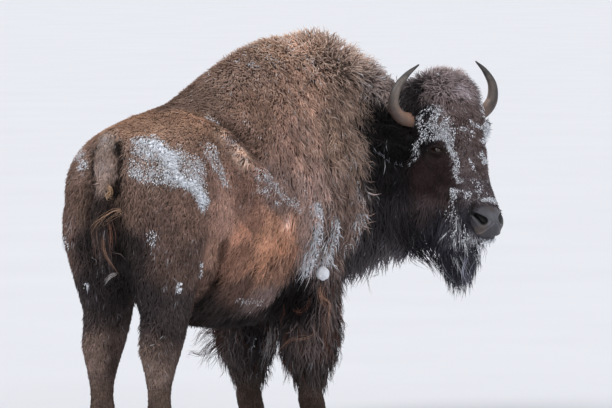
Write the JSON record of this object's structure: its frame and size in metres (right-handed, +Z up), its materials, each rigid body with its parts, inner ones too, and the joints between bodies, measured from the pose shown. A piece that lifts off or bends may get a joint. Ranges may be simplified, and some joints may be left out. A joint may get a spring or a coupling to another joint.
{
  "type": "bison",
  "caption": "American bison cow in a shaggy winter coat, standing square with her neck and head turned back to her right.",
  "frame": {"origin": "on the floor, under the middle of the whole animal's bounding box", "axes": "+X the way the body faces, +Y the animal's left, +Z up"},
  "size_m": [2.0166, 1.115, 1.598],
  "materials": {
    "coat": "shaggy brown winter hair, frosted at the tips",
    "dark_coat": "long brown-black hair of the head, throat, forelegs and tail",
    "horn": "satin horn, tan at the base and dark at the tip",
    "hoof": "matte black horn",
    "eye": "wet, almost black"
  },
  "bodies": {
    "root": {"trunk": "coat", "neck": "dark_coat", "head": "dark_coat", "beard": "dark_coat", "horn_l": "horn", "horn_r": "horn", "ear_l": "dark_coat", "ear_r": "dark_coat", "eye_l": "eye", "eye_r": "eye", "tail_dock": "coat", "tail_tuft": "dark_coat", "hind_l_upper": "coat", "hind_l_lower": "coat", "hind_r_upper": "coat", "hind_r_lower": "coat", "fore_l_upper": "dark_coat", "fore_l_lower": "coat", "fore_r_upper": "dark_coat", "fore_r_lower": "coat", "hoof_hind_l_inner": "hoof", "hoof_hind_l_outer": "hoof", "hoof_hind_r_inner": "hoof", "hoof_hind_r_outer": "hoof", "hoof_fore_l_inner": "hoof", "hoof_fore_l_outer": "hoof", "hoof_fore_r_inner": "hoof", "hoof_fore_r_outer": "hoof"}
  },
  "joints": []
}
